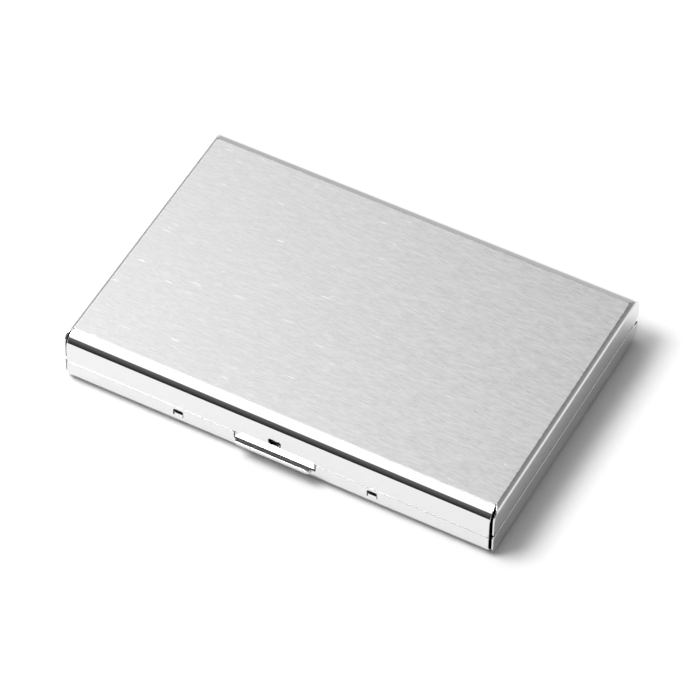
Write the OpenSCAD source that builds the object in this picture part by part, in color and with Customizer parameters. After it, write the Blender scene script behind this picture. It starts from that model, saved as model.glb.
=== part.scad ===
// Card case: two folded steel shells on a knuckle hinge along the back, a sprung
// latch plate with a thumb tab at the front, and a pleated six-pocket insert.
// The case lies flat: X runs along the hinge, the hinge is at +Y, the latch at -Y,
// and the origin is the centre of the rest face.

/* [Case] */
// Length along the hinge, over the end flaps
case_l = 96; // [84:1:120]
// Depth from the latch wall to the hinge wall
case_w = 65.2; // [56:0.2:84]
// Height of the lower shell, from the rest face to the seam
lower_h = 5.8; // [5.2:0.1:9]
// Height of the upper shell, from the seam to the top
upper_h = 7; // [6:0.1:10]
// Thickness of the steel sheet
sheet_t = 0.4; // [0.3:0.05:0.5]
// Outside radius of the rolled long edges
roll_r = 3.25; // [2.4:0.05:3.6]
// Outside radius of the folded ends
end_r = 1.05; // [0.8:0.05:1.6]
// Gap between the shells along the seam
seam_gap = 0.16; // [0.1:0.02:0.3]

/* [End flaps] */
// Distance from a rolled edge's cut end to the flap's outer face
flap_reach = 0.8; // [0.6:0.05:1.2]
// How far a flap's front edge stands back from the front wall
flap_setback = 0.55; // [0.2:0.05:1]
// Corner radius of a flap where it meets the seam at the front
flap_corner_r = 0.5; // [0.3:0.05:1]
// Radius cut out of the flaps round the end of the hinge
flap_relief_r = 0.95; // [0.8:0.05:1.3]
// Opening angle that the upper flap's back corner leaves room for
flap_swing = 40; // [32:1:60]

/* [Hinge] */
// Radius of the hinge pin
pin_r = 0.65; // [0.5:0.05:0.8]
// Radial running clearance of the pin in the turning knuckles
pin_clear = 0.05; // [0.02:0.01:0.1]
// Number of knuckles, odd, the lower shell has one more than the upper
knuckle_count = 11; // [7:2:15]
// Side gap between neighbouring knuckles
knuckle_gap = 0.2; // [0.1:0.05:0.5]
// Depth of the pin's ends inside the outer knuckles
pin_recess = 1.5; // [0.5:0.1:3]
// Clear space round the knuckles in the back walls
relief_gap = 0.2; // [0.15:0.05:0.5]

/* [Latch plate] */
// Thickness of the spring plate
latch_t = 0.3; // [0.2:0.05:0.35]
// Length of the holding strip
strip_l = 48; // [40:1:60]
// Height of the holding strip
strip_h = 2.8; // [2.6:0.1:3]
// Distance of the holding strip's top below the seam
strip_drop = 0.5; // [0.3:0.1:1]
// Width of the notch in the lower front wall
notch_l = 18.2; // [12:0.2:24]
// Depth of the notch below the seam
notch_h = 2; // [1.8:0.05:2.4]
// Gap between the latch plate and the notch at each end
notch_clear = 0.15; // [0.1:0.05:0.5]
// Distance of the thumb tab's top face below the seam
tab_drop = 1.3; // [1:0.05:1.4]
// How far the thumb tab stands out of the front wall
tab_out = 1.35; // [0.8:0.05:2.5]
// Narrowing of the thumb tab at each side, from root to rim
tab_taper = 0.6; // [0.2:0.1:2]
// Height of the thumb tab's turned-down rim
rim_h = 0.85; // [0.6:0.05:1.6]
// Corner radius of the thumb tab
tab_r = 0.6; // [0.4:0.1:1.2]
// Width of the catch stem
stem_l = 4.4; // [3:0.2:6]
// Height of the catch stem above the seam
stem_h = 2.5; // [2.2:0.1:3]
// Gap between the catch nose and the upper front wall
nose_clear = 0.08; // [0.05:0.01:0.15]
// Width of the catch nose
nose_l = 2.1; // [1:0.1:2.4]

/* [Front openings] */
// Length of the catch slot in the upper front wall
slot_l = 2.8; // [2:0.1:4]
// Height of the catch slot
slot_h = 1.6; // [1.2:0.05:1.8]
// Height of the catch slot's lower edge above the seam
slot_up = 0.75; // [0.5:0.05:1.2]
// Corner radius of the catch slot
slot_r = 0.45; // [0.2:0.05:0.5]
// Distance between the two retaining lances
lance_span = 43.4; // [36:0.2:54]
// Width of a lance's window
lance_l = 2.3; // [1.6:0.1:3]
// Height of a lance's window
lance_h = 1.7; // [1.4:0.05:2]
// Distance from the seam down to the top of a lance's window
lance_drop = 0.8; // [0.6:0.05:1]
// Slit left each side of a lance's tongue
lance_slit = 0.28; // [0.15:0.01:0.4]
// Angle at which the tongues lean into the case
lance_lean = 28; // [15:1:35]

/* [Insert] */
// Thickness of a leaf
leaf_t = 0.3; // [0.2:0.05:0.5]
// Thickness of the adhesive tape under each end sheet
tape_t = 0.1; // [0.05:0.05:0.2]
// Gap between the insert and the end flaps
insert_end_gap = 0.8; // [0.5:0.1:2]
// Gap between the insert and the front wall
insert_front_gap = 3.6; // [3:0.1:6]
// Gap between the insert and the hinge axis
insert_back_gap = 2.6; // [2.2:0.1:5]
// Depth of the side pleats
pleat_depth = 3.7; // [2:0.1:5]
// Thickness of the pleat film
pleat_t = 0.12; // [0.08:0.02:0.2]
// Radius of the thumb cut-outs in the dividers
thumb_r = 16; // [10:1:24]
// Depth of the thumb cut-outs
thumb_depth = 6; // [3:0.5:9]
// Margin from the insert's edge to the adhesive tape
tape_margin = 5; // [3:1:10]

/* [Hidden] */
$fn = 64;
eps = 0.01;

// Heights and faces of the closed case.
seam_z = lower_h;
top_z = lower_h + upper_h;
floor_z = sheet_t;
ceiling_z = top_z - sheet_t;
front_out = -case_w / 2;
front_in = front_out + sheet_t;
back_out = case_w / 2;
roll_end_x = case_l / 2 - flap_reach;

// Hinge: the knuckles are rolled from the back walls, flush with their outer faces.
knuckle_bore = pin_r + pin_clear;
knuckle_r = knuckle_bore + sheet_t;
hinge_y = back_out - knuckle_r;
relief_r = knuckle_r + relief_gap;
knuckle_pitch = 2 * roll_end_x / knuckle_count;
knuckle_l = knuckle_pitch - knuckle_gap;

// Latch: the strip lies just inside the lower front wall, the pad fills the notch
// and the stem stands behind the upper front wall.
strip_gap = 0.3;
strip_y = front_in + strip_gap;
strip_top = seam_z - strip_drop;
pad_y = front_out + 0.05;
pad_l = notch_l - 2 * notch_clear;
pad_bottom = seam_z - tab_drop - latch_t;
pad_top = seam_z - seam_gap;
stem_y = front_in + 0.6;
nose_depth = stem_y - front_in - nose_clear;
nose_h = slot_h * 0.6;
nose_z = seam_z + slot_up + 0.15;
window_gap = 0.2;
lance_root = seam_z - lance_drop - lance_h;
tongue_l = lance_l - 2 * lance_slit;
tongue_h = lance_h - lance_slit;

// Insert: leaves at one pitch from the floor to the ceiling, two of them end sheets.
pocket_count = 6;
insert_x = case_l / 2 - sheet_t - insert_end_gap;
insert_y0 = front_in + insert_front_gap;
insert_y1 = hinge_y - insert_back_gap;
leaf_z0 = floor_z + tape_t + leaf_t / 2;
leaf_z1 = ceiling_z - tape_t - leaf_t / 2;
leaf_pitch = (leaf_z1 - leaf_z0) / pocket_count;

steel = [0.80, 0.81, 0.82];
spring_steel = [0.66, 0.67, 0.69];
film_black = [0.08, 0.08, 0.09];
tape_white = [0.85, 0.85, 0.82];

// A rectangle on the Y axis with its far corners and its near corners rounded.
module rounded_plate(w, h, far_r, near_r) {
    translate([-w / 2 + far_r, 0]) square([w - 2 * far_r, h]);
    translate([-w / 2, near_r]) square([w, h - far_r - near_r]);
    if (near_r > 0)
        translate([-w / 2 + near_r, 0]) square([w - 2 * near_r, h - far_r]);
    for (side = [-1, 1]) {
        translate([side * (w / 2 - far_r), h - far_r]) circle(far_r);
        if (near_r > 0) translate([side * (w / 2 - near_r), near_r]) circle(near_r);
    }
}

// Extrudes a section drawn in Y and Z along X, centred.
module along_x(length) {
    rotate([90, 0, 90]) linear_extrude(length, center = true) children();
}

// Extrudes a section drawn in X and Z along Y, centred.
module along_y(length) {
    rotate([90, 0, 0]) linear_extrude(length, center = true) children();
}

// One shell with its plate at the top and its open side on the XY plane.
// swing is the angle cut off the flaps' back corners so that they clear each other.
module shell_blank(h, swing) {
    half_gap = seam_gap / 2;
    far = 2 * case_l;
    // The plate with its rolled long edges, stopped short of the end flaps.
    intersection() {
        along_x(2 * roll_end_x) difference() {
            rounded_plate(case_w, h, roll_r, 0);
            translate([0, -1])
                rounded_plate(case_w - 2 * sheet_t, h - sheet_t + 1, roll_r - sheet_t, 0);
            translate([-far / 2, -far + half_gap]) square(far);
        }
        along_y(far) rounded_plate(case_l, h, end_r, 0);
        back_wall_keep(h);
    }
    // The plate's ends folded down into flaps that follow the rolled edges' outline.
    difference() {
        intersection() {
            along_y(case_w) difference() {
                rounded_plate(case_l, h, end_r, 0);
                translate([0, -1])
                    rounded_plate(case_l - 2 * sheet_t, h - sheet_t + 1, end_r - sheet_t, 0);
            }
            along_x(far) flap_outline(h, swing);
        }
        translate([-roll_end_x + eps, -case_w, -eps])
            cube([2 * (roll_end_x - eps), 2 * case_w, h + 1]);
    }
}

// A flap's outline in Y and Z: set back at the front, flush with the wall at the back.
module flap_outline(h, swing) {
    half_gap = seam_gap / 2;
    difference() {
        union() {
            translate([0, half_gap]) intersection() {
                rounded_plate(case_w - 2 * flap_setback, h - half_gap,
                    roll_r - flap_setback, flap_corner_r);
                translate([-case_w, 0]) square([case_w, h]);
            }
            translate([-eps, half_gap]) intersection() {
                rounded_plate(case_w + 2 * eps, h - half_gap, roll_r, 0);
                square([case_w, h]);
            }
        }
        translate([hinge_y, 0]) circle(flap_relief_r);
        translate([hinge_y, 0]) rotate(swing - 90) square(case_w);
    }
}

// Everything but the strip of back wall beside the hinge.
module back_wall_keep(h) {
    difference() {
        translate([-case_l, -case_w, 0]) cube([2 * case_l, 2 * case_w, h + 1]);
        translate([-case_l, hinge_y, -eps]) cube([2 * case_l, case_w, relief_r + eps]);
    }
}

// Knuckles first, first + 2, and so on, rolled from the back wall above them.
module knuckles(first) {
    for (i = [first : 2 : knuckle_count - 1]) {
        gripped = i == 0 || i == knuckle_count - 1;
        x0 = -roll_end_x + i * knuckle_pitch + knuckle_gap / 2;
        difference() {
            union() {
                translate([x0, back_out - sheet_t, 0]) cube([knuckle_l, sheet_t, relief_r + eps]);
                translate([x0, hinge_y, 0]) rotate([0, 90, 0]) cylinder(r = knuckle_r, h = knuckle_l);
            }
            translate([x0 - 1, hinge_y, 0]) rotate([0, 90, 0])
                cylinder(r = gripped ? pin_r : knuckle_bore, h = knuckle_l + 2);
        }
    }
}

// A slot with rounded corners through the front wall, from x = 0 and z = 0 upwards.
module wall_slot(l, h, r) {
    translate([0, front_out + sheet_t / 2, 0]) rotate([90, 0, 0])
        linear_extrude(4 * sheet_t, center = true) rounded_plate(l, h, r, r);
}

module upper_shell() {
    color(steel) translate([0, 0, seam_z]) difference() {
        union() {
            shell_blank(upper_h, flap_swing);
            knuckles(1);
        }
        translate([0, 0, slot_up]) wall_slot(slot_l, slot_h, slot_r);
    }
}

// A tongue cut free on three sides and bent into the case from its lower edge.
module lance_tongue() {
    translate([-tongue_l / 2, front_out, lance_root]) rotate([-lance_lean, 0, 0])
        cube([tongue_l, sheet_t, tongue_h]);
}

module lower_shell() {
    color(steel) {
        difference() {
            translate([0, 0, seam_z]) mirror([0, 0, 1]) union() {
                shell_blank(lower_h, 0);
                knuckles(0);
            }
            translate([0, 0, seam_z - notch_h]) wall_slot(notch_l, 2 * notch_h, 0.3);
            for (side = [-1, 1])
                translate([side * lance_span / 2, 0, lance_root]) wall_slot(lance_l, lance_h, 0.2);
        }
        for (side = [-1, 1]) translate([side * lance_span / 2, 0, 0]) lance_tongue();
    }
}

module hinge_pin() {
    pin_l = 2 * (roll_end_x - pin_recess);
    color(spring_steel) translate([-pin_l / 2, hinge_y, seam_z]) rotate([0, 90, 0])
        cylinder(r = pin_r, h = pin_l);
}

// The thumb tab's outline, from the pad out to the rim, drawn inset from its edge.
module tab_outline(inset) {
    hull() {
        translate([-pad_l / 2 + inset, 0]) square([pad_l - 2 * inset, eps]);
        for (side = [-1, 1])
            translate([side * (pad_l / 2 - tab_taper - tab_r), -tab_out + tab_r])
                circle(tab_r - inset, $fn = 32);
    }
}

module thumb_tab() {
    translate([0, front_out, pad_bottom]) linear_extrude(latch_t) {
        tab_outline(0);
        translate([-pad_l / 2, 0]) square([pad_l, pad_y - front_out + latch_t]);
    }
    translate([0, front_out, pad_bottom + latch_t - rim_h]) difference() {
        linear_extrude(rim_h) tab_outline(0);
        translate([0, 0, -1]) linear_extrude(rim_h + 2) tab_outline(latch_t);
        translate([-case_l / 2, -tab_out / 2, -1]) cube([case_l, tab_out, rim_h + 2]);
    }
}

module latch_plate() {
    color(spring_steel) {
        // Holding strip, with windows that hang on the lances' tongues.
        difference() {
            translate([-strip_l / 2, strip_y, strip_top - strip_h]) cube([strip_l, latch_t, strip_h]);
            translate([-pad_l / 2 + latch_t, strip_y - 1, 0])
                cube([pad_l - 2 * latch_t, 2 + latch_t, top_z]);
            for (side = [-1, 1])
                translate([side * lance_span / 2 - lance_l / 2 - window_gap, strip_y - 1,
                    lance_root - window_gap])
                    cube([lance_l + 2 * window_gap, 2 + latch_t, tongue_h + 2 * window_gap]);
        }
        // Pad in the notch, stepped out from the strip at both ends.
        translate([-pad_l / 2, pad_y, pad_bottom]) cube([pad_l, latch_t, pad_top - pad_bottom]);
        for (side = [-1, 1])
            translate([side * (pad_l - latch_t) / 2 - latch_t / 2, pad_y, pad_bottom])
                cube([latch_t, strip_y + latch_t - pad_y, strip_top - pad_bottom]);
        thumb_tab();
        // Catch stem behind the upper wall, with its nose.
        translate([-stem_l / 2, pad_y, pad_top - latch_t])
            cube([stem_l, stem_y + latch_t - pad_y, latch_t]);
        translate([-stem_l / 2, stem_y, pad_top - latch_t])
            cube([stem_l, latch_t, seam_z + stem_h - pad_top + latch_t]);
        translate([-nose_l / 2, stem_y + eps, nose_z]) rotate([90, 0, 90]) linear_extrude(nose_l)
            polygon([[0, 0], [-nose_depth, 0], [-nose_depth, nose_h * 0.35], [0, nose_h]]);
    }
}

// The flat sheet of one leaf, centred on its own height.
module leaf(k, thumb_cut) {
    translate([0, 0, leaf_z0 + k * leaf_pitch]) difference() {
        translate([-insert_x, insert_y0, -leaf_t / 2])
            cube([2 * insert_x, insert_y1 - insert_y0, leaf_t]);
        if (thumb_cut)
            translate([0, insert_y0 + thumb_depth - thumb_r, -leaf_t])
                cylinder(r = thumb_r, h = 2 * leaf_t, $fn = 96);
    }
}

module end_sheet_lower() { color(film_black) leaf(0, false); }
module end_sheet_upper() { color(film_black) leaf(pocket_count, false); }
module divider(k) { color(film_black) leaf(k, true); }

// Adhesive tape that holds an end sheet to its shell, its lower face at z.
module tape(z) {
    color(tape_white) translate([-insert_x + tape_margin, insert_y0 + tape_margin, z])
        cube([2 * (insert_x - tape_margin), insert_y1 - insert_y0 - 2 * tape_margin, tape_t]);
}
module tape_lower() { tape(floor_z); }
module tape_upper() { tape(ceiling_z - tape_t); }

// The pleat that closes pocket k (1 at the bottom) at one end of the insert.
module gusset(k, side) {
    z0 = leaf_z0 + (k - 1) * leaf_pitch + leaf_t / 2;
    z1 = z0 + leaf_pitch - leaf_t;
    fold_x = insert_x - pleat_depth;
    fold_z = (z0 + z1) / 2;
    color(film_black) translate([0, insert_y1, 0]) rotate([90, 0, 0])
        linear_extrude(insert_y1 - insert_y0)
            polygon([for (p = [[insert_x, z0], [insert_x, z0 + pleat_t],
                    [fold_x + 4 * pleat_t, fold_z], [insert_x, z1 - pleat_t],
                    [insert_x, z1], [fold_x, fold_z]]) [side * p[0], p[1]]]);
}

// The film that joins the back edges of all the leaves.
module spine_web() {
    color(film_black) translate([-insert_x, insert_y1, leaf_z0 - leaf_t / 2])
        cube([2 * insert_x, pleat_t, leaf_z1 - leaf_z0 + leaf_t]);
}

lower_shell();
upper_shell();
hinge_pin();
latch_plate();
tape_lower();
tape_upper();
end_sheet_lower();
end_sheet_upper();
divider(1);  // divider_1
divider(2);  // divider_2
divider(3);  // divider_3
divider(4);  // divider_4
divider(5);  // divider_5
gusset(1, -1);  // gusset_left_1
gusset(2, -1);  // gusset_left_2
gusset(3, -1);  // gusset_left_3
gusset(4, -1);  // gusset_left_4
gusset(5, -1);  // gusset_left_5
gusset(6, -1);  // gusset_left_6
gusset(1, 1);  // gusset_right_1
gusset(2, 1);  // gusset_right_2
gusset(3, 1);  // gusset_right_3
gusset(4, 1);  // gusset_right_4
gusset(5, 1);  // gusset_right_5
gusset(6, 1);  // gusset_right_6
spine_web();
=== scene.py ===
"""A slim brushed-steel card case: two folded shells, a sprung latch and a pleated insert.

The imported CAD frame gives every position. The thin parts are drawn flat, as sheet blanks, and
folded to shape, so that bends, rims and curled knuckles come out as one closed skin.
Lengths below are millimetres; MM turns them into the frame's metres.
"""
from math import acos, asin, atan2, cos, hypot, pi, radians, sin, sqrt, tan

import bpy
from mathutils import Matrix, Vector
from mathutils.geometry import delaunay_2d_cdt

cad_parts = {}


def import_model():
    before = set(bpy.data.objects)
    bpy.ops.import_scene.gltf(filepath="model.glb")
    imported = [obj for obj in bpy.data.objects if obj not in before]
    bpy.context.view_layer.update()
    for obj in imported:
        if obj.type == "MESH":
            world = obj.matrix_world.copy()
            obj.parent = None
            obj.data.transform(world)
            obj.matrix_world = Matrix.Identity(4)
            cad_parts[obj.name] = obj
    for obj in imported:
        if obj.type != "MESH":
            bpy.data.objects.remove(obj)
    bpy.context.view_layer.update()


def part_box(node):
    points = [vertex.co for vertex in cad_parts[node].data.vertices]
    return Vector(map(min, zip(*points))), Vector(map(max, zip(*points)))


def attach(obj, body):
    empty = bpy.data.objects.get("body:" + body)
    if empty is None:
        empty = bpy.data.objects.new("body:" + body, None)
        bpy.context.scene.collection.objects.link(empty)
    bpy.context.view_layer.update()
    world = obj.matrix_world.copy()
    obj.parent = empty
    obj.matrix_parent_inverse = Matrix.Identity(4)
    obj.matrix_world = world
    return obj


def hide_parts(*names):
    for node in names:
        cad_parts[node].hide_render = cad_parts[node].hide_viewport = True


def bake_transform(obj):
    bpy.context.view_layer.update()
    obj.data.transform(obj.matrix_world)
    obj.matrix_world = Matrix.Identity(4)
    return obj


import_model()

MM = 0.001


def span(node):
    """A CAD node's lowest and highest corner, in millimetres."""
    low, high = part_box(node)
    return [c / MM for c in low], [c / MM for c in high]


# ---- Sizes -------------------------------------------------------------------------------

_, TOP = span("upper_shell")
PIN_LOW, PIN_HIGH = span("hinge_pin")
LATCH_LOW, LATCH_HIGH = span("latch_plate")

HALF_L = TOP[0]
HALF_W = TOP[1]
TOP_Z = TOP[2]
SEAM_Z = (PIN_LOW[2] + PIN_HIGH[2]) / 2
HINGE_Y = (PIN_LOW[1] + PIN_HIGH[1]) / 2
KNUCKLE_R = HALF_W - HINGE_Y

SHEET = 0.4
ROLL_R = 3.25
END_R = 1.05
SEAM_GAP = 0.05
FLAP_REACH = 0.8
ROLL_END = HALF_L - FLAP_REACH
FLAT_X = HALF_L - END_R
FLAT_Y = HALF_W - ROLL_R
FLAP_GAP = 0.42

# Rounding of the cut edges: the shells', thin sheets', and the edges of openings.
RIM = 0.16
THIN_RIM = 0.08
HOLE_RIM = 0.05
BRACE = 0.3
ROLL_STEPS = 24
BEND_STEPS = 12
FLAP_STEPS = 20

FLAP_SETBACK = 0.55
FLAP_CORNER = 0.5
RELIEF_R = 0.95
SWING = radians(40)
# The slit between a roll's end and a flap: distances past the plate's flat along X and along Y.
SLIT = [(0.25, 0.62), (0.03, 0.24), (-0.04, 0.1), (0.03, 0.03)]

KNUCKLES = 11
KNUCKLE_GAP = 0.2
WALL_RELIEF = 1.3
CURL = radians(300)
CURL_STEP = radians(12)

NOTCH_L = 18.2
NOTCH_H = 2.0
NOTCH_R = 0.3
SLOT_L, SLOT_H, SLOT_UP, SLOT_R = 2.8, 1.6, 0.75, 0.45
LANCE_X = 21.7
LANCE_L, LANCE_H, LANCE_DROP = 2.3, 1.7, 0.8
LANCE_SLIT = 0.28
LANCE_LEAN = radians(28)
LANCE_BEND = 0.6
LANCE_R = 0.45

LATCH_T = 0.3
PAD_L = 17.9
PAD_INSET = 0.05
PAD_R = 0.35
STRIP_DROP, STRIP_H, STRIP_GAP = 0.5, 2.8, 0.3
WINDOW_GAP = 0.2
STEM_HALF = 2.2
BRIDGE_DROP = 0.12
FINGER_HALF = 0.45
NOSE_UP, NOSE_OUT, NOSE_BACK = 0.15, 0.2, 0.1
NOSE_TIP_H, NOSE_H, NOSE_HALF = 0.27, 0.6, 0.4
TAB_DROP = 1.3
TAB_R = 0.6
TAB_TAPER = 0.6
TAB_RISE = radians(7)
TAB_FILLET = 0.12
TAB_ROOT = 0.3
RIM_H = 0.7

LEAF_R_FRONT, LEAF_R_BACK = 3, 0.6
THUMB_R, THUMB_DEEP = 16, 6
FILM_T = 0.12
PLEAT_DEPTH = 3.7


# ---- Sheets: a flat blank, given thickness and a rounded rim, then folded -------------------

def arc(cx, cy, r, a0, a1, steps):
    """Points on a circle from angle a0 to a1."""
    return [(cx + r * cos(a0 + (a1 - a0) * i / steps), cy + r * sin(a0 + (a1 - a0) * i / steps))
            for i in range(steps + 1)]


def rounded_rect(x0, y0, x1, y1, r, steps=5):
    """A rectangle's outline, counter-clockwise, with its corners rounded."""
    quarter = pi / 2
    return (arc(x1 - r, y0 + r, r, -quarter, 0, steps) + arc(x1 - r, y1 - r, r, 0, quarter, steps)
            + arc(x0 + r, y1 - r, r, quarter, pi, steps) + arc(x0 + r, y0 + r, r, pi, 3 * quarter, steps))


def miter(before, at, after):
    """The outward miter vector at a corner of a counter-clockwise loop."""
    def side(a, b):
        length = hypot(b[0] - a[0], b[1] - a[1])
        return (b[1] - a[1]) / length, (a[0] - b[0]) / length
    p, q = side(before, at), side(at, after)
    scale = 1 / max(0.3, 1 + p[0] * q[0] + p[1] * q[1])
    return (p[0] + q[0]) * scale, (p[1] + q[1]) * scale


def inset(loop, distance):
    """A loop moved into the material on its left."""
    out = []
    for i, at in enumerate(loop):
        m = miter(loop[i - 1], at, loop[(i + 1) % len(loop)])
        out.append((at[0] - m[0] * distance, at[1] - m[1] * distance))
    return out


def inside(p, loop):
    """Whether a point is inside a loop."""
    hit = False
    for a, b in zip(loop, loop[1:] + loop[:1]):
        if (a[1] > p[1]) != (b[1] > p[1]):
            if p[0] < a[0] + (b[0] - a[0]) * (p[1] - a[1]) / (b[1] - a[1]):
                hit = not hit
    return hit


def clean(loop):
    """A loop without repeated points."""
    return [p for i, p in enumerate(loop)
            if hypot(p[0] - loop[i - 1][0], p[1] - loop[i - 1][1]) > 1e-4]


def blank_triangles(outline, holes, folds):
    """Triangles that fill the outline and break along the fold lines."""
    loops = [outline] + holes
    points = [p for loop in loops for p in loop]
    edges = []
    start = 0
    for loop in loops:
        edges += [(start + i, start + (i + 1) % len(loop)) for i in range(len(loop))]
        start += len(loop)
    for a, b in folds:
        edges.append((len(points), len(points) + 1))
        points += [a, b]
    found = delaunay_2d_cdt([Vector(p) for p in points], edges, [], 0, 1e-6)
    verts, faces = found[0], found[2]
    kept = []
    for face in faces:
        c = [sum(verts[i][k] for i in face) / len(face) for k in (0, 1)]
        if inside(c, outline) and not any(inside(c, hole) for hole in holes):
            kept.append(tuple(face))
    used = sorted({i for face in kept for i in face})
    index = {old: new for new, old in enumerate(used)}
    return [tuple(verts[i]) for i in used], [tuple(index[i] for i in face) for face in kept]


def new_object(name, verts, faces, normals, material):
    """A smooth-shaded mesh object, from points in millimetres."""
    mesh = bpy.data.meshes.new(name)
    mesh.from_pydata([[c * MM for c in v] for v in verts], [], faces)
    mesh.polygons.foreach_set("use_smooth", [True] * len(mesh.polygons))
    if normals:
        mesh.normals_split_custom_set_from_vertices(normals)
    mesh.materials.append(material)
    obj = bpy.data.objects.new(name, mesh)
    bpy.context.scene.collection.objects.link(obj)
    return obj


def braced(loop):
    """The loop with points near both ends of each long side, so a corner's slant stays local."""
    points = []
    for a, b in zip(loop, loop[1:] + loop[:1]):
        points.append(tuple(a))
        length = hypot(b[0] - a[0], b[1] - a[1])
        if length > 4 * BRACE:
            for t in (BRACE / length, 1 - BRACE / length):
                points.append((a[0] + (b[0] - a[0]) * t, a[1] + (b[1] - a[1]) * t))
    return points


def sheet_skin(outline, holes, folds, thickness, zone, fold, flip=False, rim=RIM):
    """Vertices, faces and normals of a folded sheet.

    fold(zone, u, v, depth) gives the point at that depth under the outer face and the outer
    face's normal there. zone(u, v) names the region of the blank that a corner belongs to.
    """
    outline = braced(inset(clean(outline), rim))
    holes = [inset(clean(hole), min(rim, HOLE_RIM)) for hole in holes]
    flat, tris = blank_triangles(outline, holes, folds)
    zones = [zone(*p) for p in flat]
    verts, normals, faces = [], [], []

    def add(where, u, v, depth, normal):
        verts.append(fold(where, u, v, depth)[0])
        normals.append(normal)
        return len(verts) - 1

    outer = [add(z, u, v, 0, fold(z, u, v, 0)[1]) for z, (u, v) in zip(zones, flat)]
    inner = [add(z, u, v, thickness, -fold(z, u, v, thickness)[1]) for z, (u, v) in zip(zones, flat)]
    for a, b, c in tris:
        faces.append((outer[a], outer[b], outer[c]))
        faces.append((inner[c], inner[b], inner[a]))
    edges = [(a, b) for tri in tris for a, b in zip(tri, tri[1:] + tri[:1])]
    both_ways = set(edges)
    borders = [(a, b) for a, b in edges if (b, a) not in both_ways]
    after = dict(borders)
    before = {b: a for a, b in borders}
    hole_points = {(round(u, 3), round(v, 3)) for hole in holes for u, v in hole}
    rings = {}
    for i in after:
        u, v = flat[i]
        m = miter(flat[before[i]], (u, v), flat[after[i]])
        ring = [outer[i]]
        at_hole = (round(u, 3), round(v, 3)) in hole_points
        r = min(rim, HOLE_RIM) if at_hole else rim
        for degrees, centre in ((45, r), (90, r), (90, thickness - r), (135, thickness - r)):
            turn = radians(degrees)
            reach, depth = r * sin(turn), centre - r * cos(turn)
            here, normal = fold(zones[i], u + m[0] * reach, v + m[1] * reach, depth)
            ahead, _ = fold(zones[i], u + m[0] * (reach + 0.01), v + m[1] * (reach + 0.01), depth)
            out = (ahead - here).normalized()
            ring.append(add(zones[i], u + m[0] * reach, v + m[1] * reach, depth,
                            (normal * cos(turn) + out * sin(turn)).normalized()))
        rings[i] = ring + [inner[i]]
    for a, b in borders:
        for k in range(len(rings[a]) - 1):
            faces.append((rings[b][k], rings[a][k], rings[a][k + 1], rings[b][k + 1]))
    if flip:
        faces = [tuple(reversed(face)) for face in faces]
    return verts, faces, normals


# ---- The two shells -------------------------------------------------------------------------

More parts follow.
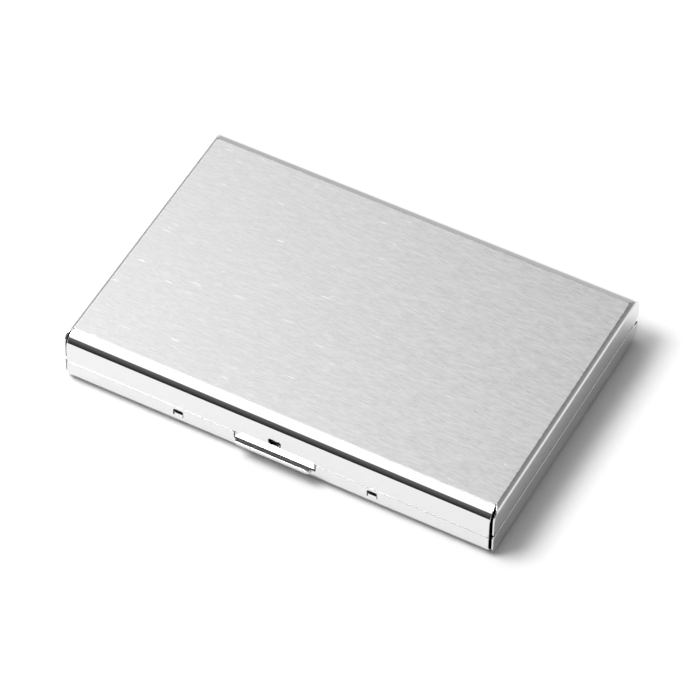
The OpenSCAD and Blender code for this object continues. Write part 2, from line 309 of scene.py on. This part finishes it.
def shell(name, height, mirrored, first_knuckle, notch, holes_at, material):
    """One shell. It is folded with its plate up and its open side on z = 0, then placed."""
    quarter_roll = ROLL_R * pi / 2
    quarter_bend = END_R * pi / 2
    half_gap = SEAM_GAP / 2
    flap_low = FLAP_GAP / 2
    flap_r = ROLL_R - FLAP_SETBACK
    rooted = quarter_roll + FLAT_Y + height - ROLL_R
    root_z = LANCE_DROP + LANCE_H
    tongue_half = LANCE_L / 2 - LANCE_SLIT

    def wall_v(z):
        """The blank's distance from its middle to height z on a long wall."""
        return rooted - z

    def flap_u(z):
        """The blank's distance from its middle to height z on an end flap."""
        down = height - z
        if down >= END_R:
            return FLAT_X + quarter_bend + down - END_R
        return FLAT_X + END_R * acos(1 - down / END_R)

    def zone(u, v):
        over_u, over_v = abs(u) - FLAT_X, abs(v) - FLAT_Y
        if over_u > 0 and over_v < 1.8 * over_u + 0.05:
            return "flap"
        if wall_v(root_z) < -v < wall_v(LANCE_DROP + LANCE_SLIT / 2):
            for x, _, _, tongue in holes_at:
                if tongue and abs(u - x) < tongue_half + 0.02:
                    return "tongue"
        return "roll"

    def fold(where, u, v, depth):
        if where == "flap":
            s = abs(u) - FLAT_X
            side = 1 if u > 0 else -1
            if s < quarter_bend:
                turn = max(s, 0) / END_R
                reach = END_R - depth
                return place(side * (FLAT_X + reach * sin(turn)), v, height - END_R + reach * cos(turn),
                             side * sin(turn), 0, cos(turn))
            return place(side * (HALF_L - depth), v, height - END_R - (s - quarter_bend), side, 0, 0)
        s = abs(v) - FLAT_Y
        side = 1 if v > 0 else -1
        if s <= 0:
            return place(u, v, height - depth, 0, 0, 1)
        if s < quarter_roll:
            turn = s / ROLL_R
            reach = ROLL_R - depth
            return place(u, side * (FLAT_Y + reach * sin(turn)), height - ROLL_R + reach * cos(turn),
                         0, side * sin(turn), cos(turn))
        z = rooted - abs(v)
        if where == "tongue":
            s = root_z - z
            radius = LANCE_BEND / LANCE_LEAN
            turn = min(s / LANCE_BEND, 1) * LANCE_LEAN
            past = max(0, s - LANCE_BEND)
            y = -HALF_W + radius * (1 - cos(turn)) + past * sin(turn) + depth * cos(turn)
            z = root_z - radius * sin(turn) - past * cos(turn) + depth * sin(turn)
            return place(u, y, z, 0, -cos(turn), -sin(turn))
        if side > 0 and z < 0:
            turn = -z / KNUCKLE_R
            reach = KNUCKLE_R - depth
            return place(u, HINGE_Y + reach * cos(turn), -reach * sin(turn), 0, cos(turn), -sin(turn))
        return place(u, side * (HALF_W - depth), z, 0, side, 0)

    def place(x, y, z, nx, ny, nz):
        if mirrored:
            return Vector((x, y, SEAM_Z - z)), Vector((nx, ny, -nz))
        return Vector((x, y, SEAM_Z + z)), Vector((nx, ny, nz))

    # Right end, from front to back: roll end, slit, flap, slit, roll end.
    flap = []
    turns = [pi / 2 * k / FLAP_STEPS for k in range(FLAP_STEPS + 1)]
    for y, z in ([(-FLAT_Y - flap_r * sin(a), height - flap_r + flap_r * cos(a))
                  for a in turns[1:]]
                 + arc(-FLAT_Y - flap_r + FLAP_CORNER, flap_low + FLAP_CORNER, FLAP_CORNER,
                       pi, 1.5 * pi, 6)
                 + arc(HINGE_Y, 0, RELIEF_R, pi - asin(flap_low / RELIEF_R), SWING, 10)
                 + [(HALF_W, KNUCKLE_R * tan(SWING))]
                 + [(FLAT_Y + ROLL_R * sin(a), height - ROLL_R + ROLL_R * cos(a))
                    for a in turns[:0:-1]]):
        flap.append((flap_u(z), y))
    right = ([(ROLL_END, -wall_v(half_gap))] + [(FLAT_X + a, -FLAT_Y - b) for a, b in SLIT] + flap
             + [(FLAT_X + a, FLAT_Y + b) for a, b in reversed(SLIT)]
             + [(ROLL_END, wall_v(WALL_RELIEF))])

    # Back edge, from right to left, with a tongue for each of this shell's knuckles.
    pitch = 2 * ROLL_END / KNUCKLES
    back = []
    tongues = []
    tip = wall_v(0) + KNUCKLE_R * CURL
    for i in range(KNUCKLES - 1, -1, -1):
        if i % 2 != first_knuckle % 2:
            continue
        x0 = -ROLL_END + i * pitch + KNUCKLE_GAP / 2
        x1 = x0 + pitch - KNUCKLE_GAP
        tongues.append((x0, x1))
        back += [(x1, wall_v(WALL_RELIEF)), (x1, tip), (x0, tip), (x0, wall_v(WALL_RELIEF))]
    left = [(-u, v) for u, v in reversed(right)]

    # Front edge, from left to right.
    front = []
    if notch:
        r = NOTCH_R
        deep = wall_v(NOTCH_H)
        half = NOTCH_L / 2
        front = ([(-half, -wall_v(half_gap))] + arc(-half + r, -deep - r, r, pi, pi / 2, 4)
                 + arc(half - r, -deep - r, r, pi / 2, 0, 4) + [(half, -wall_v(half_gap))])
    outline = right + back + left + front

    holes = []
    for x, z0, z1, tongue in holes_at:
        if not tongue:
            low, high = sorted((-wall_v(z0), -wall_v(z1)))
            loop = rounded_rect(x - SLOT_L / 2, low, x + SLOT_L / 2, high, SLOT_R)
        else:
            # The window's far side is the tongue's root, so the cut is a U round the tongue.
            w, t = LANCE_L / 2, tongue_half
            r = LANCE_R
            root = -wall_v(root_z)
            end = root - LANCE_H
            near = end + LANCE_SLIT
            loop = (arc(x - w + r, end + r, r, pi, 1.5 * pi, 5)
                    + arc(x + w - r, end + r, r, 1.5 * pi, 2 * pi, 5)
                    + [(x + w, root), (x + t, root)]
                    + arc(x + t - r, near + r, r, 0, -pi / 2, 5)
                    + arc(x - t + r, near + r, r, -pi / 2, -pi, 5)
                    + [(x - t, root), (x - w, root)])
        holes.append(list(reversed(loop)))

    # Fold lines stop just inside the outline, which is wider past the slit.
    folds = []
    (wide, wide_from), (narrow, narrow_to) = SLIT[:2]
    for side in (-1, 1):
        for k in range(ROLL_STEPS + 1):
            over = quarter_roll * k / ROLL_STEPS
            share = min(1, (over - narrow_to) / (wide_from - narrow_to))
            reach = FLAT_X + max(0, narrow + (wide - narrow) * share)
            reach -= 0 if k == 0 else RIM * 0.6
            v = side * (FLAT_Y + over)
            folds.append(((-reach, v), (reach, v)))
        for k in range(BEND_STEPS + 1):
            u = FLAT_X + quarter_bend * k / BEND_STEPS
            down = END_R * (1 - cos(pi / 2 * k / BEND_STEPS))
            ends = [FLAT_Y + sqrt(max(0, 2 * r * down - down * down)) for r in (flap_r, ROLL_R)]
            ends = [e + 0.02 if k == 0 else e - RIM * 0.5 for e in ends]
            folds.append(((side * u, -ends[0]), (side * u, ends[1])))
    for x0, x1 in tongues:
        for k in range(int(round(CURL / CURL_STEP))):
            v = wall_v(0) + KNUCKLE_R * CURL_STEP * k
            folds.append(((x0, v), (x1, v)))
    for x, _, _, tongue in holes_at:
        if tongue:
            for k in range(8):
                v = -wall_v(root_z) - LANCE_BEND * k / 7
                folds.append(((x - tongue_half, v), (x + tongue_half, v)))

    parts = sheet_skin(outline, holes, folds, SHEET, zone, fold, flip=mirrored)
    return new_object(name, *parts, material)


# ---- Materials -------------------------------------------------------------------------------

class Nodes:
    """Short calls for building one node tree."""

    def __init__(self, tree):
        self.tree = tree

    def add(self, kind, **settings):
        node = self.tree.nodes.new(kind)
        for key, value in settings.items():
            setattr(node, key, value)
        return node

    def link(self, a, b):
        self.tree.links.new(a, b)

    def feed(self, socket, value):
        if isinstance(value, bpy.types.NodeSocket):
            self.link(value, socket)
        else:
            socket.default_value = value

    def math(self, operation, *values, clamp=False):
        node = self.add("ShaderNodeMath", operation=operation, use_clamp=clamp)
        for socket, value in zip(node.inputs, values):
            self.feed(socket, value)
        return node.outputs[0]

    def ramp(self, value, low, high, to_low, to_high, smooth=True):
        node = self.add("ShaderNodeMapRange", clamp=True)
        node.interpolation_type = "SMOOTHSTEP" if smooth else "LINEAR"
        for socket, item in zip(node.inputs, (value, low, high, to_low, to_high)):
            self.feed(socket, item)
        return node.outputs[0]

    def noise(self, coordinates, scale, stretch=(1, 1, 1), detail=3, roughness=0.5):
        mapping = self.add("ShaderNodeMapping")
        self.link(coordinates, mapping.inputs["Vector"])
        mapping.inputs["Scale"].default_value = stretch
        node = self.add("ShaderNodeTexNoise")
        self.link(mapping.outputs[0], node.inputs["Vector"])
        node.inputs["Scale"].default_value = scale
        node.inputs["Detail"].default_value = detail
        node.inputs["Roughness"].default_value = roughness
        return node.outputs["Fac"]

    def mix(self, factor, a, b):
        """A number between a and b."""
        node = self.add("ShaderNodeMix", data_type="FLOAT")
        for index, value in ((0, factor), (2, a), (3, b)):
            self.feed(node.inputs[index], value)
        return node.outputs[0]

    def tint(self, value, dark, light):
        node = self.add("ShaderNodeMix", data_type="RGBA")
        self.link(value, node.inputs["Factor"])
        node.inputs["A"].default_value = (*dark, 1)
        node.inputs["B"].default_value = (*light, 1)
        return node.outputs["Result"]

    def bump(self, height, strength, distance):
        node = self.add("ShaderNodeBump")
        node.inputs["Strength"].default_value = strength
        node.inputs["Distance"].default_value = distance
        self.link(height, node.inputs["Height"])
        return node.outputs[0]


def new_material(name):
    """A material with its node calls, its shader and the object's own coordinates."""
    material = bpy.data.materials.new(name)
    material.use_nodes = True
    nodes = Nodes(material.node_tree)
    shader = material.node_tree.nodes["Principled BSDF"]
    place = nodes.add("ShaderNodeTexCoord").outputs["Object"]
    return material, nodes, shader, place


def brushed_steel():
    """Satin plate brushed along X, with the rolled edges, walls and end bends polished."""
    satin_low, satin_high = 0.24, 0.38
    gloss_low, gloss_high = 0.03, 0.06
    dark, light = (0.67, 0.67, 0.67), (0.9, 0.9, 0.9)
    polished_tone = 0.38
    material, n, shader, place = new_material("brushed_steel")
    split = n.add("ShaderNodeSeparateXYZ")
    n.link(place, split.inputs[0])
    off_x, off_y = (n.math("ABSOLUTE", split.outputs[k]) for k in (0, 1))
    from_long = n.ramp(off_y, (FLAT_Y - 0.1) * MM, (FLAT_Y + 0.9) * MM, 0, 1)
    from_end = n.ramp(off_x, (FLAT_X - 0.1) * MM, (FLAT_X + 0.5) * MM, 0, 1)
    polish = n.math("MAXIMUM", from_long, n.math("MULTIPLY", from_end, 0.7))
    streaks = n.noise(place, 1, (420, 5600, 5600), detail=4, roughness=0.65)
    dashes = n.noise(place, 1, (560, 2700, 2700), detail=3, roughness=0.6)
    clouds = n.noise(place, 1, (240, 800, 800), detail=4, roughness=0.7)
    nicks = n.ramp(n.noise(place, 1, (240, 2100, 2100), detail=1), 0.68, 0.8, 0, 1)
    grain = n.math("ADD", n.math("MULTIPLY", streaks, 0.2), n.math("MULTIPLY", dashes, 0.5))
    grain = n.math("MULTIPLY_ADD", clouds, 0.3, grain)
    satin = n.ramp(grain, 0.3, 0.7, satin_low, satin_high, smooth=False)
    satin = n.math("MULTIPLY_ADD", nicks, -0.08, satin)
    gloss = n.ramp(streaks, 0.3, 0.7, gloss_low, gloss_high, smooth=False)
    n.link(n.mix(polish, satin, gloss), shader.inputs["Roughness"])
    tone = n.ramp(grain, 0.4, 0.6, 0, 0.8, smooth=False)
    tone = n.math("ADD", tone, n.math("MULTIPLY", nicks, 0.5), clamp=True)
    tone = n.mix(polish, tone, polished_tone)
    n.link(n.tint(tone, dark, light), shader.inputs["Base Color"])
    relief = n.math("MULTIPLY", streaks, n.math("SUBTRACT", 1, n.math("MULTIPLY", polish, 0.93)))
    n.link(n.bump(relief, 0.12, 0.00003), shader.inputs["Normal"])
    shader.inputs["Metallic"].default_value = 1
    shader.inputs["Anisotropic"].default_value = 0.6
    tangent = n.add("ShaderNodeTangent", direction_type="RADIAL", axis="Y")
    n.link(tangent.outputs[0], shader.inputs["Tangent"])
    return material


def plain_steel(name, dark, light, low, high, stretch):
    """Steel with fine rolling marks along X and a little change in gloss."""
    material, n, shader, place = new_material(name)
    marks = n.noise(place, 1, stretch, detail=3)
    n.link(n.ramp(marks, 0.3, 0.7, low, high, smooth=False), shader.inputs["Roughness"])
    n.link(n.tint(marks, dark, light), shader.inputs["Base Color"])
    n.link(n.bump(marks, 0.1, 0.00002), shader.inputs["Normal"])
    shader.inputs["Metallic"].default_value = 1
    return material


def soft_film(name, dark, light, low, high, grain, strength):
    """Matt plastic with a fine pebbled grain."""
    material, n, shader, place = new_material(name)
    pebbles = n.add("ShaderNodeTexVoronoi")
    n.link(place, pebbles.inputs["Vector"])
    pebbles.inputs["Scale"].default_value = grain
    cells = pebbles.outputs["Distance"]
    cloud = n.noise(place, 300, detail=4)
    n.link(n.ramp(cloud, 0.3, 0.7, low, high, smooth=False), shader.inputs["Roughness"])
    n.link(n.tint(cells, dark, light), shader.inputs["Base Color"])
    n.link(n.bump(n.math("ADD", cells, n.math("MULTIPLY", cloud, 0.5)), strength, 0.00004),
           shader.inputs["Normal"])
    return material


STEEL = brushed_steel()
SPRING = plain_steel("spring_steel", (0.61, 0.61, 0.61), (0.73, 0.73, 0.73), 0.07, 0.14,
                     (400, 5000, 5000))
PIN = plain_steel("pin_steel", (0.52, 0.52, 0.53), (0.66, 0.66, 0.67), 0.22, 0.36, (500, 4000, 4000))
LEAF = soft_film("leaf_film", (0.035, 0.035, 0.037), (0.075, 0.075, 0.078), 0.42, 0.58, 2600, 0.5)
PLEAT = soft_film("pleat_film", (0.028, 0.028, 0.030), (0.060, 0.060, 0.063), 0.5, 0.65, 3600, 0.35)
TAPE = soft_film("tape", (0.72, 0.71, 0.68), (0.84, 0.83, 0.80), 0.6, 0.8, 1200, 0.4)


# ---- Shells, latch, pin and insert -------------------------------------------------------------

upper = shell("steel_upper_shell", TOP_Z - SEAM_Z, False, 1, False,
              [(0, SLOT_UP, SLOT_UP + SLOT_H, False)], STEEL)
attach(upper, "lid")
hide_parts("upper_shell")

lower = shell("steel_lower_shell", SEAM_Z, True, 0, True,
              [(side * LANCE_X, LANCE_DROP, LANCE_DROP + LANCE_H, True) for side in (-1, 1)], STEEL)
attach(lower, "base")
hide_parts("lower_shell")


def joined(parts):
    """Several closed skins as one list of vertices, faces and normals."""
    verts, faces, normals = [], [], []
    for v, f, n in parts:
        faces += [tuple(i + len(verts) for i in face) for face in f]
        verts += v
        normals += n
    return verts, faces, normals


def flat_sheet(outline, holes, thickness, at, normal, flip=False, rim=THIN_RIM):
    """A flat sheet. at(u, v, depth) gives a point; normal is its outer face's normal."""
    normal = Vector(normal)

    def fold(_, u, v, depth):
        return Vector(at(u, v, depth)), normal

    return sheet_skin(outline, holes, [], thickness, lambda u, v: "flat", fold, flip, rim)


def upright(y):
    """Places a sheet in X and Z with its outer face at y, facing -Y."""
    return lambda u, v, depth: (u, y + depth, v)


def thumb_tab(root_y, reach, top_z, bottom_z, width):
    """The tab: a slightly rising plate with a filleted, turned-down rim round its free edge."""
    half = width / 2
    front_y = root_y - reach
    corner = (half - TAB_TAPER - TAB_R, front_y + TAB_R)
    path = [(-half, root_y + TAB_ROOT, -1, 0), (-half, root_y, -1, 0)]
    steps = 8
    for sign, a0, a1 in ((-1, pi, 1.5 * pi), (1, 1.5 * pi, 2 * pi)):
        for k in range(steps + 1):
            a = a0 + (a1 - a0) * k / steps
            path.append((sign * corner[0] + TAB_R * cos(a), corner[1] + TAB_R * sin(a), cos(a), sin(a)))
    path += [(half, root_y, 1, 0), (half, root_y + TAB_ROOT, 1, 0)]
    t, b = LATCH_T, THIN_RIM
    profile = [(TAB_FILLET * (1 - sin(a)), TAB_FILLET * (1 - cos(a)), sin(a), cos(a), False)
               for a in [pi / 2 * k / 6 for k in range(7)]]
    profile += [(0, b * 1.01, 1, 0, True), (b * 0.3, b * 0.3, 0.7, -0.7, True), (b, 0, 0, -1, True),
                (t - b, 0, 0, -1, True), (t - b * 0.3, b * 0.3, -0.7, -0.7, True), (t, b, -1, 0, True),
                (t, TAB_FILLET, -1, 0, False), (TAB_FILLET, t, 0, -1, False)]
    verts, normals, rows = [], [], []
    for x, y, nx, ny in path:
        row = []
        away = min(1, max(0, (root_y - y) / 0.6))
        low = bottom_z + (1 - away) * (top_z - TAB_FILLET - 2 * b - bottom_z)
        for back, drop, out, up, from_rim in profile:
            px, py = x - nx * back, y - ny * back
            rise = max(0, root_y - py) * tan(TAB_RISE)
            pz = low + drop if from_rim else top_z + rise - drop
            row.append(len(verts))
            verts.append(Vector((px, py, pz)))
            tilt = sin(TAB_RISE) * up
            normals.append(Vector((nx * out, ny * out + tilt, up)).normalized())
        rows.append(row)
    faces = []
    for a, b in zip(rows, rows[1:]):
        for k in range(len(profile) - 1):
            faces.append((a[k], a[k + 1], b[k + 1], b[k]))
    for k, order in ((0, 1), (len(profile) - 1, -1)):
        loop = [row[k] for row in rows]
        faces.append(tuple(loop[::order]))
    faces.append(tuple(rows[0][::-1] + rows[-1]))
    return verts, faces, normals


def latch():
    """The latch: holding strips, arms, pad, bridge, stem, nose and thumb tab, each a closed skin."""
    t = LATCH_T
    front = -HALF_W
    pad_y = front + PAD_INSET
    strip_y = front + SHEET + STRIP_GAP
    strip_top, strip_low = SEAM_Z - STRIP_DROP, SEAM_Z - STRIP_DROP - STRIP_H
    pad_low, pad_top = SEAM_Z - TAB_DROP - t, SEAM_Z - 0.02
    half = PAD_L / 2
    stem_y = LATCH_HIGH[1] - t
    root = SEAM_Z - LANCE_DROP - LANCE_H
    window = LANCE_H - LANCE_SLIT
    gap = WINDOW_GAP
    parts = []

    def standing(outline, y, holes=()):
        parts.append(flat_sheet(outline, list(holes), t, upright(y), (0, -1, 0)))

    for side in (-1, 1):
        x0, x1 = sorted((side * (half - t), side * LATCH_HIGH[0]))
        x = side * LANCE_X
        w = LANCE_L / 2 + gap
        hole = rounded_rect(x - w, root - gap, x + w, root + window + gap, 0.25)
        standing(rounded_rect(x0, strip_low, x1, strip_top, 0.3), strip_y, [hole[::-1]])
        edge = rounded_rect(pad_y, pad_low, strip_y + t, strip_top, 0.12)
        parts.append(flat_sheet(edge, [], t, lambda u, v, depth, s=side: (s * (half - depth), u, v),
                                (side, 0, 0), flip=side < 0))
    standing(rounded_rect(-half, pad_low, half, pad_top, PAD_R), pad_y)
    bridge_top = pad_top - BRIDGE_DROP
    parts.append(flat_sheet(rounded_rect(-STEM_HALF, pad_y, STEM_HALF, stem_y + t, 0.1), [], t,
                            lambda u, v, depth: (u, v, bridge_top - depth), (0, 0, 1)))
    nose = SEAM_Z + SLOT_UP + NOSE_UP
    standing(rounded_rect(-STEM_HALF, bridge_top - t, STEM_HALF, nose - 0.3, 0.3), stem_y)
    standing(rounded_rect(-FINGER_HALF, nose - 0.5, FINGER_HALF, LATCH_HIGH[2], 0.2), stem_y)
    tip, heel = stem_y - NOSE_OUT, stem_y + NOSE_BACK
    wedge = [(tip, nose), (heel, nose), (heel, nose + NOSE_H), (tip, nose + NOSE_TIP_H)]
    parts.append(flat_sheet(wedge, [], 2 * NOSE_HALF,
                            lambda u, v, depth: (NOSE_HALF - depth, u, v), (1, 0, 0)))
    parts.append(thumb_tab(front, front - LATCH_LOW[1], pad_low + t, pad_low + t - RIM_H, PAD_L))
    return new_object("latch_spring_plate", *joined(parts), SPRING)


plate = latch()
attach(plate, "latch")
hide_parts("latch_plate")


def pin():
    """The hinge pin, turned round its axis, with small domed ends."""
    radius = (PIN_HIGH[1] - PIN_LOW[1]) / 2
    half = PIN_HIGH[0]
    profile = [(half, 0.02), (half, radius * 0.55)]
    profile += [(half - 0.25 * (1 - cos(a)), radius * (0.55 + 0.45 * sin(a)))
                for a in [pi / 2 * k / 4 for k in range(1, 5)]]
    profile += [(-x, r) for x, r in reversed(profile)]
    sides = 48
    verts, faces = [], []
    for x, r in profile:
        verts += [(x, HINGE_Y + r * cos(2 * pi * k / sides), SEAM_Z + r * sin(2 * pi * k / sides))
                  for k in range(sides)]
    for row in range(len(profile) - 1):
        a, b = row * sides, (row + 1) * sides
        faces += [(a + k, b + k, b + (k + 1) % sides, a + (k + 1) % sides) for k in range(sides)]
    last = (len(profile) - 1) * sides
    faces.append(tuple(range(sides)))
    faces.append(tuple(last + k for k in reversed(range(sides))))
    obj = new_object("hinge_wire", verts, faces, None, PIN)
    obj.data.set_sharp_from_angle(angle=radians(40))
    return obj


wire = pin()
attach(wire, "base")
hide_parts("hinge_pin")


def leaf(node, thumb_cut):
    """One flat leaf with rounded front corners and, on a divider, a thumb cut-out."""
    (x0, y0, z0), (x1, y1, z1) = span(node)
    r_front, r_back = LEAF_R_FRONT, LEAF_R_BACK
    outline = arc(x0 + r_front, y0 + r_front, r_front, pi, 1.5 * pi, 8)
    if thumb_cut:
        centre = y0 + THUMB_DEEP - THUMB_R
        a = atan2(y0 - centre, sqrt(THUMB_R ** 2 - (y0 - centre) ** 2))
        outline += arc(0, centre, THUMB_R, pi - a, a, 20)
    outline += arc(x1 - r_front, y0 + r_front, r_front, -pi / 2, 0, 8)
    outline += arc(x1 - r_back, y1 - r_back, r_back, 0, pi / 2, 4)
    outline += arc(x0 + r_back, y1 - r_back, r_back, pi / 2, pi, 4)
    skin = flat_sheet(outline, [], z1 - z0, lambda u, v, depth: (u, v, z1 - depth), (0, 0, 1))
    obj = new_object(node + "_film", *skin, LEAF)
    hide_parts(node)
    return obj


LEAVES = ["end_sheet_lower"] + ["divider_%d" % k for k in range(1, 6)] + ["end_sheet_upper"]
for node in LEAVES:
    divider = node.startswith("divider")
    body = node if divider else ("base" if node.endswith("lower") else "lid")
    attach(leaf(node, divider), body)


def film(name, line, along, start, end, thickness=FILM_T):
    """A film that follows a centre line and runs straight from start to end."""
    left, right = [], []
    for i, p in enumerate(line):
        a, b = line[max(0, i - 1)], line[min(len(line) - 1, i + 1)]
        length = hypot(b[0] - a[0], b[1] - a[1])
        n = (-(b[1] - a[1]) / length * thickness / 2, (b[0] - a[0]) / length * thickness / 2)
        left.append((p[0] + n[0], p[1] + n[1]))
        right.append((p[0] - n[0], p[1] - n[1]))
    ring = left + right[::-1]
    count = len(line)
    verts = []
    for s in (start, end):
        verts += [(a, s, b) if along == "y" else (s, a, b) for a, b in ring]
    size = len(ring)
    faces = [(k, (k + 1) % size, size + (k + 1) % size, size + k) for k in range(size)]
    for k in range(count - 1):
        faces.append((k + 1, k, size - 1 - k, size - 2 - k))
        faces.append((size + k, size + k + 1, 2 * size - 2 - k, 2 * size - 1 - k))
    if along == "x":
        faces = [face[::-1] for face in faces]
    obj = new_object(name, verts, faces, None, PLEAT)
    obj.data.set_sharp_from_angle(angle=radians(50))
    return obj


def share_turn(obj, low, high):
    """Bakes the film's transform into its mesh; low and high are not used."""
    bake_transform(obj)


SPAN_X = span("end_sheet_lower")[1][0]
BACK_Y = span("end_sheet_lower")[1][1]
FRONT_Y = span("end_sheet_lower")[0][1]
LEVELS = [(span(node)[0][2] + span(node)[1][2]) / 2 for node in LEAVES]
LEAF_T = span(LEAVES[0])[1][2] - span(LEAVES[0])[0][2]
for k in range(1, 7):
    low, high = LEVELS[k - 1], LEVELS[k]
    for side, word in ((-1, "left"), (1, "right")):
        line = []
        for j in range(21):
            s = j / 20
            bulge = 1 - abs(2 * s - 1) ** 1.25
            z = low + LEAF_T / 2 + (high - low - LEAF_T) * s
            line.append((side * (SPAN_X - 0.08 - (PLEAT_DEPTH - 0.15) * bulge), z))
        pleat = film("pleat_%s_%d" % (word, k), line, "y", FRONT_Y + 0.3, BACK_Y)
        share_turn(pleat, low, high)
        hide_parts("gusset_%s_%d" % (word, k))
    line = [(BACK_Y + 0.06 + 0.45 * sin(pi * j / 12), low + (high - low) * j / 12) for j in range(13)]
    back = film("spine_film_%d" % k, line, "x", -SPAN_X, SPAN_X)
    share_turn(back, low, high)
    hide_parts("spine_web")

for node, body in (("tape_lower", "base"), ("tape_upper", "lid")):
    (x0, y0, z0), (x1, y1, z1) = span(node)
    skin = flat_sheet(rounded_rect(x0, y0, x1, y1, 0.4), [], z1 - z0,
                      lambda u, v, depth, z=z1: (u, v, z - depth), (0, 0, 1), rim=0.02)
    pad = new_object(node + "_pad", *skin, TAPE)
    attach(pad, body)
    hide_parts(node)


# ---- Studio ------------------------------------------------------------------------------------

def floor():
    """A plain pale paper floor."""
    material, n, shader, place = new_material("paper_floor")
    fibres = n.noise(place, 700, detail=5)
    n.link(n.tint(fibres, (0.80, 0.80, 0.80), (0.84, 0.84, 0.84)), shader.inputs["Base Color"])
    n.link(n.bump(fibres, 0.05, 0.00002), shader.inputs["Normal"])
    shader.inputs["Roughness"].default_value = 0.9
    shader.inputs["Specular IOR Level"].default_value = 0.1
    half = 4000
    obj = new_object("floor", [(-half, -half, 0), (half, -half, 0), (half, half, 0), (-half, half, 0)],
                     [(0, 1, 2, 3)], None, material)


def world():
    """A light tent, by direction: white overhead, in front and behind left; dark low in front
    and at the right, so that the rolled edge and the end flaps read dark."""
    sky = bpy.data.worlds.new("light_tent")
    sky.use_nodes = True
    bpy.context.scene.world = sky
    n = Nodes(sky.node_tree)
    for node in list(sky.node_tree.nodes):
        sky.node_tree.nodes.remove(node)
    split = n.add("ShaderNodeSeparateXYZ")
    n.link(n.add("ShaderNodeTexCoord").outputs["Generated"], split.inputs[0])
    x, y, z = split.outputs
    turn = n.math("ARCTAN2", x, n.math("MULTIPLY", y, -1))
    around = n.math("MULTIPLY_ADD", turn, 0.5 / pi, 0.5)
    height = n.math("MULTIPLY", n.math("ARCSINE", z), 180 / pi)

    def band(stops):
        """Brightness by direction round the case: 0 is the back, 0.25 left, 0.5 front, 0.75 right."""
        ramp = n.add("ShaderNodeValToRGB")
        n.link(around, ramp.inputs[0])
        elements = ramp.color_ramp.elements
        for position, _ in stops[2:]:
            elements.new(position)
        for element, (position, _) in zip(elements, stops):
            element.position = position
        for element, (_, level) in zip(elements, stops):
            element.color = (level, level, level, 1)
        return ramp.outputs[0]

    low = band([(0, 0.72), (0.1, 0.6), (0.2, 0.4), (0.32, 0.3), (0.37, 0.0), (0.56, 0.0), (0.66, 0.03),
                (0.75, 0.06), (0.85, 0.5), (1, 0.72)])
    middle = band([(0, 0.62), (0.1, 0.55), (0.2, 0.4), (0.32, 0.3), (0.38, 0.15), (0.56, 0.15),
                   (0.7, 0.05), (0.8, 0.25), (0.9, 0.3), (0.96, 0.45), (1, 0.62)])
    rise = n.ramp(height, 0, 36, 0, 1, smooth=False)
    # Above 42 degrees: bright on the left, falling off to the right, behind and in front alike.
    fade = n.ramp(x, -0.41, -0.19, 2.55, 0.12)
    behind = n.math("ADD", fade, n.ramp(x, -0.1, 0.05, 0, 0.15))
    before = n.ramp(x, -0.15, 0.3, 1.5, 0.1)
    forward = n.ramp(y, -0.25, 0.1, 1, 0)
    overhead = n.math("MAXIMUM", forward, n.ramp(height, 60, 72, 0, 1))
    high = n.mix(overhead, behind, before)
    cut = n.ramp(height, 41.5, 44, 0, 1)
    first = n.add("ShaderNodeMix", data_type="RGBA")
    second = n.add("ShaderNodeMix", data_type="RGBA")
    for node, factor, a, b in ((first, rise, low, middle), (second, cut, first.outputs["Result"], high)):
        n.link(factor, node.inputs["Factor"])
        n.link(a, node.inputs["A"])
        n.link(b, node.inputs["B"])
    background = n.add("ShaderNodeBackground")
    n.link(second.outputs["Result"], background.inputs["Color"])
    out = n.add("ShaderNodeOutputWorld")
    n.link(background.outputs[0], out.inputs["Surface"])


def area_light(name, place, aim, size, power):
    """A square soft light that the camera does not see."""
    light = bpy.data.lights.new(name, "AREA")
    light.shape = "SQUARE"
    light.size = size
    light.energy = power
    obj = bpy.data.objects.new(name, light)
    bpy.context.scene.collection.objects.link(obj)
    obj.location = place
    obj.rotation_euler = (Vector(aim) - Vector(place)).to_track_quat("-Z", "Y").to_euler()
    obj.visible_camera = False
    return obj


def camera():
    """A long lens one metre away, looking down over the latch from the right."""
    azimuth, elevation, roll = radians(26.944), radians(49.07), radians(1.362)
    distance = 1.0
    aim_right, aim_up = -0.344 * MM, 1.531 * MM
    back = Vector((sin(azimuth) * cos(elevation), -cos(azimuth) * cos(elevation), sin(elevation)))
    right = Vector((cos(azimuth), sin(azimuth), 0))
    up = back.cross(right)
    right, up = right * cos(roll) + up * sin(roll), up * cos(roll) - right * sin(roll)
    data = bpy.data.cameras.new("camera")
    data.sensor_width = 36
    data.lens = 255.49
    data.clip_start = 0.01
    obj = bpy.data.objects.new("camera", data)
    bpy.context.scene.collection.objects.link(obj)
    place = right * aim_right + up * aim_up + back * distance
    obj.matrix_world = Matrix.Translation(place) @ Matrix((right, up, back)).transposed().to_4x4()
    bpy.context.scene.camera = obj


floor()
world()
area_light("key", (-0.38, -0.25, 0.8), (0, 0, 0), 0.4, 7.4)
camera()
bpy.context.scene.view_settings.view_transform = "Standard"
